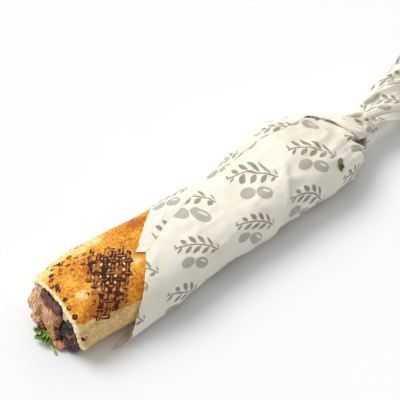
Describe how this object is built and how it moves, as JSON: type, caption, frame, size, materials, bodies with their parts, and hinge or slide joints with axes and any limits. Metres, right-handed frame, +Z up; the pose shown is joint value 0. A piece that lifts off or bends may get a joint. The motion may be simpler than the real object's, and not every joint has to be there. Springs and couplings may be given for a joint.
{
  "type": "shawarma sandwich",
  "caption": "Toasted flatbread roll filled with sliced meat, vegetables and herbs, open at one end, in a printed paper wrap gathered into a twisted tail.",
  "frame": {"origin": "centre of the bounding box's bottom face, on the surface the sandwich lies on", "axes": "+Z up; the roll lies along X with its open mouth towards -X and the twisted paper tail towards +X; +Y is the side where the wrap's front edge is furthest from the mouth"},
  "size_m": [0.3704, 0.0774, 0.0507],
  "materials": {
    "wrap_paper": "matte, printed",
    "flatbread": "toasted, matte",
    "sliced_meat": "moist, satin",
    "roasted_meat": "charred, moist",
    "tomato": "wet",
    "onion": "wet",
    "pickle": "wet",
    "herb": "satin"
  },
  "bodies": {
    "root": {"paper_wrap": "wrap_paper", "paper_inner_ply": "wrap_paper", "bread": "flatbread", "meat_far_slice": "sliced_meat", "meat_middle_slice": "sliced_meat", "roasted_meat": "roasted_meat", "tomato_strip": "tomato", "onion_strip": "onion", "pickle_strip": "pickle", "parsley_sprig": "herb", "herb_on_wrap": "herb"}
  },
  "joints": []
}
